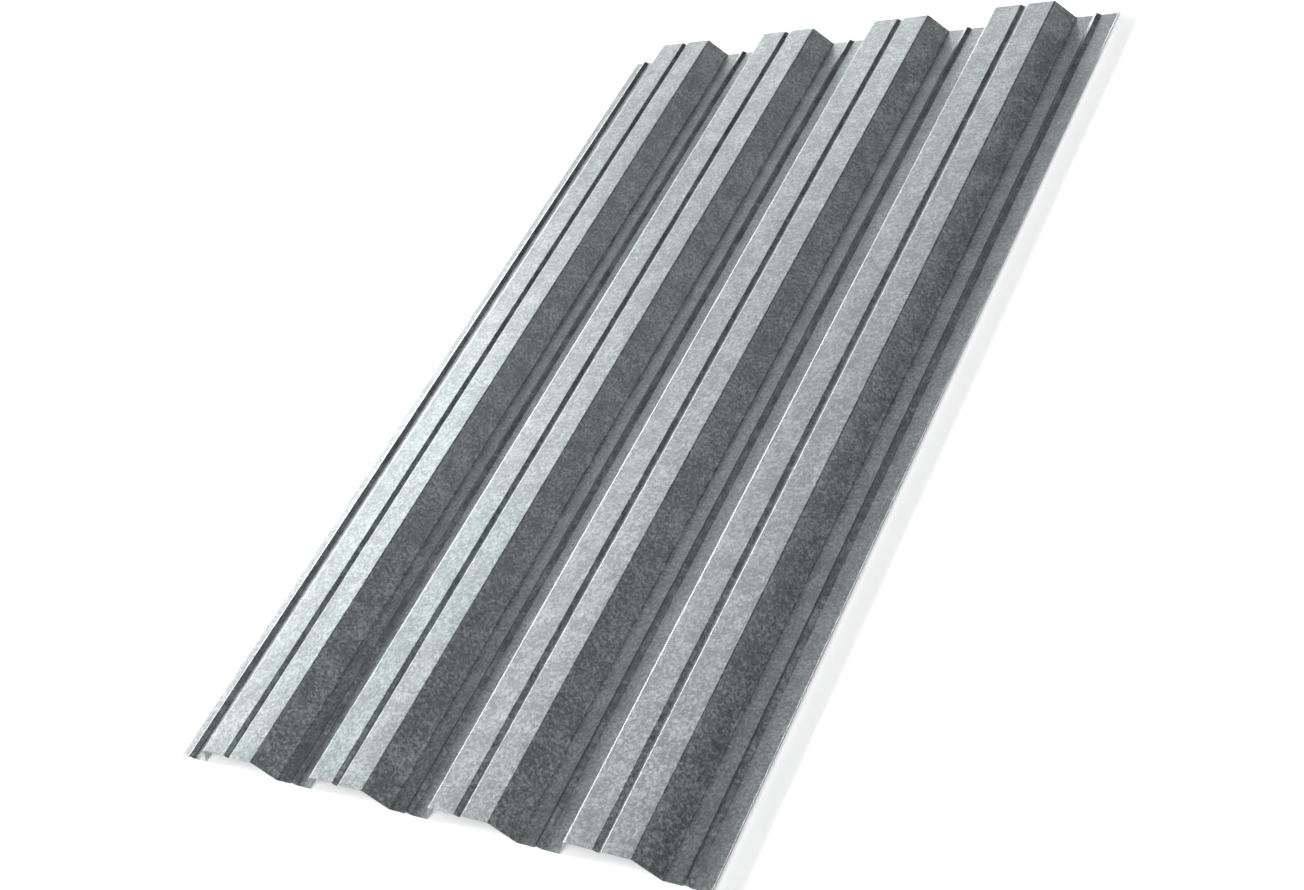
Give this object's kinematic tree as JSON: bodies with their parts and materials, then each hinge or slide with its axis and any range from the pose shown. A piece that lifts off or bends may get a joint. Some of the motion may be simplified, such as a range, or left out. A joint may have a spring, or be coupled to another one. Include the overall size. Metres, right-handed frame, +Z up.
{
  "type": "corrugated metal sheet",
  "caption": "Long galvanised steel sheet rolled to a trapezoidal profile, with grooved crowns and ridged valleys, for roofing, cladding or decking.",
  "frame": {"origin": "centre of the sheet's footprint, level with the underside of its valleys", "axes": "+X across the profile towards the upturned lip, +Y along the ribs, +Z up, out of the crowns"},
  "size_m": [1.0712, 1.8, 0.042],
  "materials": {
    "galvanised_steel": "hot-dip galvanised with a visible zinc spangle, sheared bare edges"
  },
  "bodies": {
    "root": {"sheet": "galvanised_steel"}
  },
  "joints": []
}
